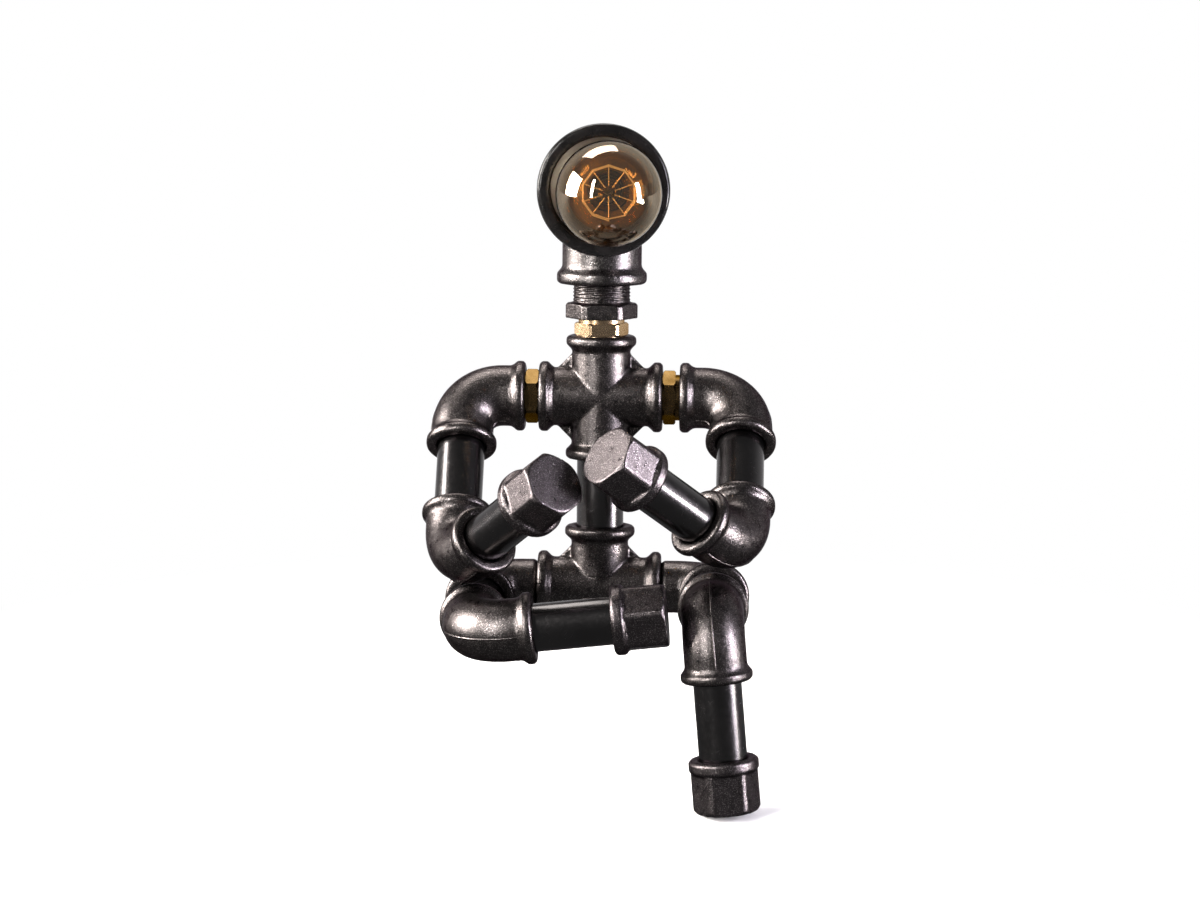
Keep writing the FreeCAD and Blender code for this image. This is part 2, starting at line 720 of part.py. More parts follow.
def holder_plate(label):
    """The steel disc that rests on the shoulder inside the head's mouth. Its holes sit off its own centre."""
    body = new_body(label)
    outer = HEAD_SOCKET_RADIUS + " - plate_play"
    turn(body, "disc", [(PLATE_BACK, "0"), (PLATE_FRONT, "0"), (PLATE_FRONT, outer), (PLATE_BACK, outer)])
    drill(body, "holes", [
        ("holder_radius + holder_play", ("-holder_shift", "holder_drop")),
        ("screw_hole_radius", ("screw_spacing_radius - holder_shift", "holder_drop")),
        ("screw_hole_radius", ("-screw_spacing_radius - holder_shift", "holder_drop")),
    ], PLATE_BACK, PLATE_FRONT)
    return body


def holder_body(label):
    """The porcelain body: a barrel through the plate, a flange in front of it and a stepped bore."""
    body = new_body(label)
    bore = "bulb_cap_radius + bulb_cap_play + shell_thickness + sleeve_play"
    turn(body, "barrel", [
        (HOLDER_BACK, "0"), (TONGUE_BACK, "0"), (TONGUE_BACK, bore),
        (HOLDER_FRONT + " - holder_mouth_depth", bore),
        (HOLDER_FRONT + " - holder_mouth_depth", "holder_mouth_radius"),
        (HOLDER_FRONT, "holder_mouth_radius"), (HOLDER_FRONT, HOLDER_FLANGE_RADIUS),
        (PLATE_FRONT, HOLDER_FLANGE_RADIUS), (PLATE_FRONT, "holder_radius"),
        (HOLDER_BACK + " + mouth_chamfer", "holder_radius"), (HOLDER_BACK, "holder_radius - mouth_chamfer"),
    ])
    drill(body, "holes", [
        ("screw_hole_radius", ("screw_spacing_radius", "0")),
        ("screw_hole_radius", ("-screw_spacing_radius", "0")),
    ], PLATE_FRONT, HOLDER_FRONT)
    return body


def holder_shell(label):
    """The brass shell that the bulb's cap turns in."""
    body = new_body(label)
    inner = "bulb_cap_radius + bulb_cap_play"
    outer = inner + " + shell_thickness"
    back = TONGUE_BACK + " + shell_back_gap"
    front = HOLDER_FRONT + " - holder_mouth_depth"
    turn(body, "tube", [(back, inner), (front, inner), (front, outer), (back, outer)])
    return body


def holder_tongue(label):
    """The contact at the bottom of the holder."""
    body = new_body(label)
    front = TONGUE_BACK + " + tongue_thickness"
    turn(body, "disc", [(TONGUE_BACK, "0"), (front, "0"), (front, "tongue_radius"),
                        (TONGUE_BACK, "tongue_radius")])
    return body


def holder_screws(label):
    """The two screws that hold the holder to its plate."""
    screws = []
    for number, side in enumerate((1, -1)):
        head = doc.addObject("Part::Cylinder", "screw_head_%d" % number)
        shank = doc.addObject("Part::Cylinder", "screw_shank_%d" % number)
        head.setExpression("Radius", qualified("screw_head_radius"))
        head.setExpression("Height", qualified("screw_head_height"))
        shank.setExpression("Radius", qualified("screw_radius"))
        shank.setExpression("Height", qualified("screw_length"))
        starts = (HOLDER_FRONT, HOLDER_FRONT + " - screw_length")
        for piece, start in zip((head, shank), starts):
            piece.Placement = FreeCAD.Placement(Vector(), FreeCAD.Rotation(Vector(0, 1, 0), 90))
            piece.setExpression("Placement.Base.x", qualified(start))
            piece.setExpression("Placement.Base.y", qualified("%d * screw_spacing_radius" % side))
        screw = doc.addObject("Part::Fuse", "screw_%d" % number)
        screw.Base = head
        screw.Tool = shank
        screws.append(screw)
    group = doc.addObject("Part::Compound", label)
    group.Label = label
    group.Links = screws
    doc.recompute()
    return group


def bulb_globe(label):
    """The round glass: a shell with a short neck that ends inside the metal cap."""
    body = new_body(label)
    stub = "bulb_cap_radius - bulb_cap_wall - globe_stub_play"
    stub_front = CAP_FRONT + " + globe_stub_gap"
    inner_neck = "globe_neck_radius - globe_wall"
    inner_globe = "globe_radius - globe_wall"
    front = GLOBE_CENTRE + " + globe_radius"
    turn(body, "glass", [
        (front, "0", "globe_radius", 1),
        (GLOBE_NECK, "globe_neck_radius"),
        (stub_front, stub),
        (STEM_BACK, stub),
        (STEM_BACK, stub + " - globe_wall"),
        (stub_front, stub + " - globe_wall"),
        (GLOBE_CENTRE + " - sqrt((%s) ^ 2 - (%s) ^ 2)" % (inner_globe, inner_neck), inner_neck,
         inner_globe, -1),
        (front + " - globe_wall", "0"),
    ])
    return body


def bulb_cap(label):
    """The screw cap of the bulb."""
    body = new_body(label)
    inner = "bulb_cap_radius - bulb_cap_wall"
    turn(body, "shell", [
        (CAP_BACK, "bulb_contact_radius"),
        (CAP_BACK, "bulb_insulator_radius"),
        (CAP_BACK + " + bulb_cap_cone", "bulb_cap_radius"),
        (CAP_FRONT, "bulb_cap_radius"),
        (CAP_FRONT, inner),
        (CAP_BACK + " + bulb_cap_cone + bulb_cap_wall", inner),
        (CAP_BACK + " + 2 * bulb_cap_wall", "bulb_contact_radius"),
    ])
    return body


def bulb_insulator(label):
    body = new_body(label)
    turn(body, "cone", [(INSULATOR_BACK, "0"), (CAP_BACK, "0"), (CAP_BACK, "bulb_insulator_radius"),
                        (INSULATOR_BACK, "bulb_contact_radius")])
    return body


def bulb_contact(label):
    body = new_body(label)
    turn(body, "button", [(BULB_BACK, "0"), (INSULATOR_BACK, "0"), (INSULATOR_BACK, "bulb_contact_radius"),
                          (BULB_BACK, "bulb_contact_radius / 2")])
    return body


def bulb_stem(label):
    """The glass stem inside the globe, with the button that holds the filament's supports."""
    body = new_body(label)
    button = STEM_FRONT + " - stem_button_length"
    turn(body, "rod", [
        (STEM_BACK, "0"), (STEM_FRONT, "0"), (STEM_FRONT, "stem_radius"),
        (STEM_FRONT + " - stem_button_length / 2", "stem_button_radius"), (button, "stem_radius"),
        (STEM_BACK + " + stem_flare_length", "stem_radius"), (STEM_BACK, "stem_flare_radius"),
    ])
    return body


def filament_corners():
    """The corners of the filament's two turns round the head's axis, the front turn first."""
    count = int(value("filament_corners"))
    radius = value("filament_radius")
    middle = value(STEM_FRONT) - value("stem_button_length") / 2
    half_depth = value("filament_depth") / 2
    corners = []
    for forward in (middle + half_depth, middle - half_depth):
        for number in range(count):
            angle = 2 * math.pi * number / count
            corners.append(Vector(forward, radius * math.sin(angle), radius * math.cos(angle)))
    return corners


def round_wire(points, radius):
    """A thin wire along straight runs, with a ball in each corner."""
    solids = [Part.makeSphere(radius, point) for point in points]
    for first, second in zip(points, points[1:]):
        run = second - first
        solids.append(Part.makeCylinder(radius, run.Length, first, run))
    return solids[0].multiFuse(solids[1:]).removeSplitter()


def shape_object(label, shape):
    thing = doc.addObject("Part::Feature", label)
    thing.Label = label
    thing.Shape = shape
    return thing


def filament(label):
    """One wire in two turns round the stem's button: a turn in front, a step back and a turn behind."""
    return shape_object(label, round_wire(filament_corners(), value("filament_wire_radius")))


def filament_supports(label):
    """A wire from the stem's button to every other corner of each turn."""
    corners = filament_corners()
    count = len(corners) // 2
    clearance = value("filament_wire_radius") + value("support_wire_radius") + value("support_tip_gap")
    root_distance = value("stem_button_radius") + value("support_root_gap")
    hub = Vector(value(STEM_FRONT) - value("stem_button_length") / 2, 0, 0)
    spokes = []
    for corner in corners[:count:2] + corners[count + 1::2]:
        outward = (corner - hub).normalize()
        root = hub + outward * root_distance
        length = (corner - hub).Length - clearance - root_distance
        spokes.append(Part.makeCylinder(value("support_wire_radius"), length, root, outward))
    return shape_object(label, Part.makeCompound(spokes))


# Wiring

BEND_SHARE = 0.45


def tangent_path(points):
    """Straight runs joined by tangent arcs, each as large as its two runs allow."""
    edges = []
    start = points[0]
    for before, corner, after in zip(points, points[1:], points[2:]):
        inward = (corner - before).normalize()
        outward = (after - corner).normalize()
        turned = inward.getAngle(outward)
        trim = BEND_SHARE * min((corner - before).Length, (after - corner).Length)
        radius = trim / math.tan(turned / 2)
        first = corner - inward * trim
        last = corner + outward * trim
        bisector = (outward - inward).normalize()
        centre = corner + bisector * (radius / math.cos(turned / 2))
        middle = centre - bisector * radius
        edges.append(Part.makeLine(start, first))
        edges.append(Part.Arc(first, middle, last).toShape())
        start = last
    edges.append(Part.makeLine(start, points[-1]))
    return Part.Wire(edges)


def lead(label, points):
    radius = value("lead_radius")
    path = tangent_path(points)
    ring = Part.Wire([Part.makeCircle(radius, points[0], points[1] - points[0])])
    solid = path.makePipeShell([ring], True, True)
    if solid.Volume <= 0:
        raise RuntimeError("%s: the sweep is inside out" % label)
    return shape_object(label, solid)


NIPPLE_TOP = "turning_gap + brass_hex_height + thread_reach"


def neck_sleeve(label):
    """The insulating bush in the neck nipple's bore, which holds the lead in its middle."""
    body = new_body(label)
    outer = "brass_bore_radius - sleeve_play"
    inner = "lead_radius + sleeve_play"
    low = NIPPLE_TOP + " - sleeve_length"
    turn(body, "tube", along("Z", 1, [(low, inner), (NIPPLE_TOP, inner), (NIPPLE_TOP, outer), (low, outer)]),
         "V_Axis")
    return body


def connector(label):
    """The block inside the pelvis that joins the lead to the cord's cores."""
    box = doc.addObject("Part::Box", label)
    box.Label = label
    box.setExpression("Length", qualified("connector_width"))
    box.setExpression("Width", qualified("connector_width"))
    box.setExpression("Height", qualified("connector_height"))
    doc.recompute()
    return box


# Cord gland, in a frame with its axis along X and the pelvis tee's centre plane at x = 0

WASHER_BACK = "body_radius + gland_crown_gap"
GLAND_SEAT = WASHER_BACK + " + gland_washer_thickness"
GLAND_INNER = GLAND_SEAT + " - gland_washer_thickness - gland_thread_reach"
GLAND_HEX_TOP = GLAND_SEAT + " + gland_hex_height"
GLAND_END = GLAND_HEX_TOP + " + gland_neck_length"
SEAL_END = GLAND_END + " + gland_crown_gap + gland_seal_length"
NUT_END = SEAL_END + " + gland_crown_gap + gland_nut_wall"


def gland_washer(label):
    body = new_body(label)
    inner = "gland_thread_radius + thread_play"
    turn(body, "disc", [(WASHER_BACK, inner), (GLAND_SEAT, inner), (GLAND_SEAT, "gland_washer_radius"),
                        (WASHER_BACK, "gland_washer_radius")])
    return body


def gland_body(label):
    """The gland's body: a thread in the pelvis wall, a hexagon and a threaded neck, with the cord's bore."""
    body = new_body(label)
    turn(body, "barrel", [
        (GLAND_INNER, "gland_bore_radius"), (GLAND_END, "gland_bore_radius"),
        (GLAND_END, "gland_neck_radius"), (GLAND_SEAT, "gland_neck_radius"),
        (GLAND_SEAT, "gland_thread_radius"), (GLAND_INNER, "gland_thread_radius"),
    ])
    pad(body, "hexagon", hexagon("gland_across_flats"), "YZ_Plane", GLAND_SEAT, "gland_hex_height")
    turn(body, "bore", [
        (GLAND_SEAT, "0"), (GLAND_HEX_TOP, "0"),
        (GLAND_HEX_TOP, "gland_bore_radius"), (GLAND_SEAT, "gland_bore_radius"),
    ], cuts=True)
    return body


def gland_nut(label):
    """The nut that squeezes the seal: a hexagon with a rounded nose and the cord's outlet."""
    body = new_body(label)
    low = GLAND_HEX_TOP + " + gland_nut_gap"
    pad(body, "hexagon", hexagon("gland_across_flats"), "YZ_Plane", low, "%s - (%s)" % (NUT_END, low))
    outside = "gland_across_flats / sqrt(3) + corner_trim"
    turn(body, "nose", [
        (NUT_END + " - gland_nut_round", outside),
        (NUT_END + " - gland_nut_round", "gland_across_flats / 2 + gland_nut_shoulder"),
        (NUT_END, "gland_nut_end_radius"),
        (NUT_END, outside),
    ], cuts=True)
    cavity = "gland_neck_radius + thread_play"
    cavity_end = SEAL_END + " + gland_crown_gap"
    turn(body, "cavity", [
        (low, "0"), (NUT_END, "0"), (NUT_END, "gland_seal_bore_radius"),
        (cavity_end, "gland_seal_bore_radius"),
        (cavity_end, cavity), (low, cavity),
    ], cuts=True)
    return body


def gland_seal(label):
    body = new_body(label)
    back = GLAND_END + " + gland_crown_gap"
    turn(body, "ring", [(back, "gland_seal_bore_radius"), (SEAL_END, "gland_seal_bore_radius"),
                        (SEAL_END, "gland_neck_radius"), (back, "gland_neck_radius")])
    return body


# Posture: directions and centres of the figure's fittings

def direction(y, z):
    return Vector(0, y, z)


def radians(alias):
    return math.radians(value(alias))


def place(thing, origin, x_direction, z_direction):
    """Put a sub-part's own X and Z along two directions that are square to each other."""
    y_direction = z_direction.cross(x_direction)
    turned = FreeCAD.Rotation(x_direction, y_direction, z_direction, "ZXY")
    thing.Placement = FreeCAD.Placement(origin, turned)


def square_to(axis, near):
    """The direction square to axis that is nearest to near."""
    return (near - axis * near.dot(axis)).normalize()


def clocked(axis, near, degrees):
    """A direction square to axis, turned about it by degrees from the one nearest to near."""
    start = square_to(axis, near)
    side = axis.cross(start)
    angle = math.radians(degrees)
    return start * math.cos(angle) + side * math.sin(angle)


RIGHT = Vector(1, 0, 0)
UP = Vector(0, 0, 1)
lean = radians("torso_lean_angle")
TORSO_UP = direction(math.sin(lean), math.cos(lean))
TORSO_BACK = direction(math.cos(lean), -math.sin(lean))
reach = value("centre_to_end")

parts = []


def keep(thing):
    parts.append(thing)
    return thing


def build_torso():
    """The pelvis, the spine and the chest, with the brass nipples, the gland and the wiring between them."""
    pelvis = UP * value("bead_radius")
    chest = pelvis + TORSO_UP * (2 * reach + value("torso_gap"))
    place(keep(tee("pelvis_tee")), pelvis, RIGHT, TORSO_UP)
    place(keep(nipple("torso_nipple", "torso_gap")), pelvis + TORSO_UP * reach, RIGHT, TORSO_UP)
    place(keep(cross("chest_cross")), chest, RIGHT, TORSO_UP)
    neck_seat = chest + TORSO_UP * reach
    neck_clock = clocked(TORSO_UP, RIGHT, value("neck_hex_clock_angle"))
    place(keep(hexagon_nipple("neck_hex_nipple")), neck_seat, neck_clock, TORSO_UP)
    place(keep(neck_sleeve("neck_sleeve")), neck_seat, RIGHT, TORSO_UP)
    for side, outward in (("left", RIGHT * -1), ("right", RIGHT)):
        seat = chest + outward * reach
        place(keep(hexagon_nipple("shoulder_hex_nipple_" + side)), seat, TORSO_UP, outward)
    for make, label in ((gland_washer, "gland_washer"), (gland_body, "gland_body"),
                        (gland_nut, "gland_nut"), (gland_seal, "gland_seal")):
        place(keep(make(label)), pelvis - TORSO_UP * value("gland_drop"), TORSO_BACK, TORSO_UP)
    half = value("connector_width") / 2
    block = keep(connector("wire_connector"))
    corner = pelvis - RIGHT * half - TORSO_BACK * half - TORSO_UP * (value("connector_height") / 2)
    place(block, corner, RIGHT, TORSO_UP)
    lead_foot = pelvis + TORSO_UP * (value("connector_height") / 2)
    keep(lead("torso_lead", [lead_foot, neck_seat + TORSO_UP * value(NIPPLE_TOP)]))
    return pelvis, chest


def build_head(chest):
    """The bushing, the head elbow, the lamp holder and the bulb."""
    bushing_seat = chest + TORSO_UP * (reach + value("neck_gap"))
    centre = bushing_seat + TORSO_UP * (value(BUSHING_FACE) + value("head_drop"))
    turned = radians("head_turn_angle")
    forward = RIGHT * math.sin(turned) - TORSO_BACK * math.cos(turned)
    down = TORSO_UP * -1
    bushing_clock = clocked(TORSO_UP, RIGHT, value("bushing_clock_angle"))
    place(keep(bushing("neck_bushing")), bushing_seat, bushing_clock, TORSO_UP)
    for make in (head_elbow, holder_plate):
        place(keep(make(make.__name__)), centre, forward, down)
    leftward = down.cross(forward)
    lamp = centre - leftward * value("holder_shift") + down * value("holder_drop")
    makers = (holder_body, holder_shell, holder_tongue, holder_screws, bulb_globe, bulb_cap,
              bulb_insulator, bulb_contact, bulb_stem, filament, filament_supports)
    for make in makers:
        place(keep(make(make.__name__)), lamp, forward, down)
    meeting = chest + TORSO_UP * (reach + value(NIPPLE_TOP) + value("turning_gap"))
    back = forward * -value("lead_back_offset")
    keep(lead("head_lead", [
        meeting,
        centre + down * value("lead_turn_drop"),
        centre + back + down * value("lead_rise_drop"),
        lamp + back,
        lamp + forward * value(HOLDER_BACK),
    ]))


def build_arm(side, inward, shoulder):
    """Shoulder elbow, upper arm, lower elbow, forearm and hand of one side."""
    swing = radians(side + "_arm_swing_angle")
    turned = radians(side + "_forearm_turn_angle")
    arm = direction(-math.sin(swing), -math.cos(swing))
    ahead = direction(-math.cos(swing), math.sin(swing))
    forearm = inward * math.cos(turned) + ahead * math.sin(turned)
    bend = shoulder + arm * (2 * reach + value("upper_arm_gap"))
    place(keep(elbow("shoulder_elbow_" + side)), shoulder, inward, arm)
    place(keep(nipple("upper_arm_nipple_" + side, "upper_arm_gap")), shoulder + arm * reach, RIGHT, arm)
    place(keep(elbow("arm_elbow_" + side)), bend, arm * -1, forearm)
    place(keep(nipple("forearm_nipple_" + side, "forearm_gap")), bend + forearm * reach,
          square_to(forearm, arm), forearm)
    hand = bend + forearm * (reach + value("forearm_gap"))
    place(keep(hexagon_cap("hand_cap_" + side)), hand,
          clocked(forearm, arm, value(side + "_hand_clock_angle")), forearm)
    print("joint shoulder_%s" % side, shoulder, RIGHT)
    print("joint elbow_%s" % side, bend, arm)


def build_leg(side, inward, hip):
    """Street elbow, thigh, knee, shin and foot of one side."""
    drop = radians(side + "_thigh_drop_angle")
    turned = radians(side + "_shin_turn_angle")
    thigh = direction(-math.cos(drop), -math.sin(drop))
    hanging = direction(math.sin(drop), -math.cos(drop))
    if side == "left":
        shin = RIGHT * math.cos(turned) - hanging * math.sin(turned)
        near = UP
    else:
        shin = hanging * math.cos(turned) + RIGHT * math.sin(turned)
        near = RIGHT
    knee = hip + thigh * (2 * reach + value("thigh_gap"))
    place(keep(street_elbow("hip_elbow_" + side)), hip, inward, thigh)
    place(keep(nipple("thigh_nipple_" + side, "thigh_gap")), hip + thigh * reach, RIGHT, thigh)
    place(keep(elbow("knee_elbow_" + side)), knee, thigh * -1, shin)
    place(keep(nipple("shin_nipple_" + side, "shin_gap")), knee + shin * reach, square_to(shin, thigh), shin)
    foot = knee + shin * (reach + value("shin_gap"))
    foot_clock = clocked(shin, near, value(side + "_foot_clock_angle"))
    place(keep(hexagon_cap("foot_cap_" + side)), foot, foot_clock, shin)
    print("joint hip_%s" % side, hip, RIGHT)
    print("joint knee_%s" % side, knee, thigh)


def build_figure():
    pelvis, chest = build_torso()
    build_head(chest)
    print("joint neck", chest, TORSO_UP)
    for side, inward in (("left", RIGHT), ("right", RIGHT * -1)):
        shoulder = chest - inward * (2 * reach + value("shoulder_gap_" + side))
        build_arm(side, inward, shoulder)
        hip = pelvis - inward * (reach + value("hip_reach"))
        build_leg(side, inward, hip)


def check_document():
    """Stop on a failed object, or on a sub-part that has no sound shape."""
    doc.recompute()
    for thing in doc.Objects:
        if "Invalid" in thing.State or "Error" in thing.State:
            raise RuntimeError("%s is %s" % (thing.Name, thing.State))
    for thing in parts:
        if thing.Shape.isNull() or not thing.Shape.isValid() or not thing.Shape.Solids:
            raise RuntimeError("%s has no sound shape" % thing.Label)


def write_parts():
    os.makedirs("parts", exist_ok=True)
    for thing in parts:
        thing.Shape.exportStep(os.path.join("parts", thing.Label + ".step"))
    print("%d sub-parts" % len(parts))


build_figure()
check_document()
write_parts()
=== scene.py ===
import json
import math
import bmesh
import bpy
from mathutils import Matrix, Vector


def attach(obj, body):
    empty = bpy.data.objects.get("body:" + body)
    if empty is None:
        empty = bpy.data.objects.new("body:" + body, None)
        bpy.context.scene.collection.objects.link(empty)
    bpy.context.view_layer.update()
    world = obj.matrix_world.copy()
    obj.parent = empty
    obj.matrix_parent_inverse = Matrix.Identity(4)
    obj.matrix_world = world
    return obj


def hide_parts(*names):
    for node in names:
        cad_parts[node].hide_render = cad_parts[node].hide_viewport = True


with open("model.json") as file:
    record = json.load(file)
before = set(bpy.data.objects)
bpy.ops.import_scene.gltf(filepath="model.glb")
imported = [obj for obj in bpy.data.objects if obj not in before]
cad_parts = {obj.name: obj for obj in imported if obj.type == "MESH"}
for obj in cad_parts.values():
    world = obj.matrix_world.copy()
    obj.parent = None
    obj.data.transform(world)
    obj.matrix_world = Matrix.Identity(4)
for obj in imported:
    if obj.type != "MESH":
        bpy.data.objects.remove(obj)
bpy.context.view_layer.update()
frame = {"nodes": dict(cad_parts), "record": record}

MM = 0.001
SIDES = ("left", "right")

nodes = frame["nodes"]
joints = {joint["name"]: joint for joint in frame["record"]["behaviour"]["joints"]}
bodies = frame["record"]["behaviour"]["bodies"]
body_of = {node: body for body, members in bodies.items() for node in members}
scene = bpy.context.scene


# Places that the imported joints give

def joint_line(name):
    joint = joints[name]
    return Vector(joint["pos_m"]), Vector(joint["axis"]).normalized()


chest, torso_up = joint_line("neck_turn")
head_forward = Vector(joints["bulb_out"]["axis"]).normalized()
HEAD_RISE = 95.9 * MM
PELVIS_HEIGHT = 15.9 * MM
head_centre = chest + torso_up * HEAD_RISE
pelvis = Vector((0, 0, PELVIS_HEIGHT))


def frame_of(x_direction, z_direction, origin):
    """A matrix whose columns are two given directions and the one square to both."""
    x = x_direction.normalized()
    z = z_direction.normalized()
    y = z.cross(x)
    matrix = Matrix((x, y, z)).transposed().to_4x4()
    matrix.translation = origin
    return matrix


# Materials

class Shader:
    """A few lines of help for building one node material."""

    def __init__(self, name):
        self.material = bpy.data.materials.new(name)
        self.material.use_nodes = True
        self.tree = self.material.node_tree
        self.surface = self.tree.nodes["Principled BSDF"]
        self.place = self.add("ShaderNodeTexCoord")

    def add(self, kind, **settings):
        node = self.tree.nodes.new(kind)
        for key, setting in settings.items():
            if key in node.inputs.keys():
                node.inputs[key].default_value = setting
            else:
                setattr(node, key, setting)
        return node

    def join(self, source, target):
        self.tree.links.new(source, target)

    def noise(self, scale, detail=2.0, roughness=0.5, distortion=0.0):
        """Noise on the object's own coordinates, with its scale in features per metre."""
        node = self.add("ShaderNodeTexNoise")
        node.inputs["Scale"].default_value = scale
        node.inputs["Detail"].default_value = detail
        node.inputs["Roughness"].default_value = roughness
        node.inputs["Distortion"].default_value = distortion
        self.join(self.place.outputs["Object"], node.inputs["Vector"])
        return node

    def ramp(self, source, stops):
        node = self.add("ShaderNodeValToRGB")
        ramp = node.color_ramp
        while len(ramp.elements) < len(stops):
            ramp.elements.new(0.5)
        for element, (position, colour) in zip(ramp.elements, stops):
            element.position = position
            if isinstance(colour, (int, float)):
                colour = (colour, colour, colour)
            element.color = (*colour, 1.0)
        self.join(source, node.inputs["Fac"])
        return node.outputs["Color"]

    def bump(self, source, depth, strength=1.0, before=None):
        node = self.add("ShaderNodeBump")
        node.inputs["Distance"].default_value = depth
        node.inputs["Strength"].default_value = strength
        self.join(source, node.inputs["Height"])
        if before is not None:
            self.join(before.outputs["Normal"], node.inputs["Normal"])
        self.join(node.outputs["Normal"], self.surface.inputs["Normal"])
        return node

    def set(self, **inputs):
        for key, setting in inputs.items():
            socket = self.surface.inputs[key.replace("_", " ")]
            if isinstance(setting, bpy.types.NodeSocket):
                self.join(setting, socket)
            elif isinstance(setting, tuple) and len(setting) == 3:
                socket.default_value = (*setting, 1.0)
            else:
                socket.default_value = setting


def cast_skin(name, dark, light, glint, shine, grain_depth):
    """Sand-cast iron under thin black lacquer: dark, speckled with bright grains, and unevenly glossy."""
    shader = Shader(name)
    broad = shader.noise(70, detail=3, roughness=0.6)
    grain = shader.noise(1500, detail=2, roughness=0.65)
    speck = shader.noise(2100, detail=2, roughness=0.5)
    lumps = shader.noise(330, detail=3, roughness=0.55)
    mottled = shader.ramp(broad.outputs["Fac"], [(0.35, dark), (0.68, light)])
    specks = shader.ramp(speck.outputs["Fac"], [(0.54, 0.0), (0.70, 1.0)])
    mix = shader.add("ShaderNodeMix", data_type="RGBA", blend_type="MIX")
    shader.join(specks, mix.inputs["Factor"])
    shader.join(mottled, mix.inputs["A"])
    mix.inputs["B"].default_value = (*glint, 1.0)
    shader.set(Base_Color=mix.outputs["Result"], Metallic=1.0, Specular_Tint=(0.30, 0.28, 0.30))
    shader.set(Roughness=shader.ramp(lumps.outputs["Fac"], [(0.3, shine - 0.04), (0.7, shine + 0.08)]))
    first = shader.bump(grain.outputs["Fac"], grain_depth)
    shader.bump(lumps.outputs["Fac"], grain_depth * 0.7, before=first)
    return shader.material


def pipe_skin(name):
    """Drawn pipe under gloss black lacquer, with faint marks and a mill scale that shows through."""
    shader = Shader(name)
    broad = shader.noise(45, detail=4, roughness=0.55)
    fine = shader.noise(900, detail=2, roughness=0.5)
    scuff = shader.noise(260, detail=4, roughness=0.7, distortion=1.5)
    dark = shader.ramp(broad.outputs["Fac"], [(0.3, (0.050, 0.048, 0.049)), (0.75, (0.066, 0.062, 0.063))])
    shader.set(Base_Color=dark, Metallic=1.0, Specular_Tint=(0.45, 0.44, 0.45))
    shader.set(Roughness=shader.ramp(scuff.outputs["Fac"], [(0.35, 0.20), (0.75, 0.29)]))
    shader.bump(fine.outputs["Fac"], 0.03 * MM)
    shader.set(Coat_Weight=0.35, Coat_Roughness=0.12)
    return shader.material


def brass_skin(name, dark, light):
    shader = Shader(name)
    broad = shader.noise(140, detail=3, roughness=0.5)
    fine = shader.noise(2400, detail=2, roughness=0.6)
    shader.set(Base_Color=shader.ramp(broad.outputs["Fac"], [(0.3, dark), (0.7, light)]))
    shader.set(Metallic=1.0, Specular_Tint=(0.5, 0.4, 0.3))
    shader.set(Roughness=shader.ramp(fine.outputs["Fac"], [(0.3, 0.18), (0.7, 0.32)]))
    shader.bump(fine.outputs["Fac"], 0.02 * MM)
    return shader.material


def plain_skin(name, colour, roughness, metallic=0.0, grain=1200, depth=0.02 * MM, variation=0.12, coat=0.0):
    """A quiet material that still varies a little in colour and gloss."""
    shader = Shader(name)
    broad = shader.noise(90, detail=3, roughness=0.5)
    fine = shader.noise(grain, detail=2, roughness=0.5)
    low = tuple(part * (1 - variation) for part in colour)
    high = tuple(min(1.0, part * (1 + variation)) for part in colour)
    shader.set(Base_Color=shader.ramp(broad.outputs["Fac"], [(0.3, low), (0.7, high)]))
    shader.set(Roughness=shader.ramp(fine.outputs["Fac"], [(0.3, roughness * 0.85), (0.7, roughness * 1.15)]))
    shader.set(Metallic=metallic, Coat_Weight=coat)
    shader.bump(fine.outputs["Fac"], depth)
    return shader.material


def gloss_black_skin(name):
    """Thick gloss black enamel, as on the ring round the bulb."""
    shader = Shader(name)
    broad = shader.noise(120, detail=3, roughness=0.6)
    fine = shader.noise(900, detail=3, roughness=0.6)
    shader.set(Base_Color=shader.ramp(broad.outputs["Fac"],
                                      [(0.3, (0.003, 0.003, 0.003)), (0.8, (0.009, 0.008, 0.008))]))
    shader.set(Roughness=shader.ramp(broad.outputs["Fac"], [(0.3, 0.14), (0.7, 0.28)]))
    shader.set(Metallic=0.0, Specular_IOR_Level=0.12, Coat_Weight=0.12, Coat_Roughness=0.10)
    shader.bump(fine.outputs["Fac"], 0.08 * MM)
    return shader.material


def glass_skin(name, colour, ior, roughness, metallic):
    shader = Shader(name)
    shader.set(Base_Color=colour, Roughness=roughness, IOR=ior, Transmission_Weight=1.0, Metallic=metallic)
    film = shader.noise(70, detail=2, roughness=0.5)
    shader.bump(film.outputs["Fac"], 0.03 * MM, strength=0.3)
    return shader.material


def mirrored_glass_skin(name, colour, centre, skin_radius, share):
    """Amber glass whose outer face, beyond skin_radius from its centre, carries a half-silvered film."""
    shader = Shader(name)
    offset = shader.add("ShaderNodeVectorMath", operation="SUBTRACT")
    shader.join(shader.place.outputs["Object"], offset.inputs[0])
    offset.inputs[1].default_value = centre
    reach = shader.add("ShaderNodeVectorMath", operation="LENGTH")
    shader.join(offset.outputs["Vector"], reach.inputs[0])
    outer = shader.add("ShaderNodeMath", operation="GREATER_THAN")
    shader.join(reach.outputs["Value"], outer.inputs[0])
    outer.inputs[1].default_value = skin_radius
    film = shader.add("ShaderNodeMath", operation="MULTIPLY")
    shader.join(outer.outputs["Value"], film.inputs[0])
    film.inputs[1].default_value = share
    shader.set(Base_Color=colour, Roughness=0.0, IOR=1.14, Transmission_Weight=1.0)
    shader.set(Metallic=film.outputs["Value"], Specular_Tint=(0.07, 0.05, 0.04))
    return shader.material


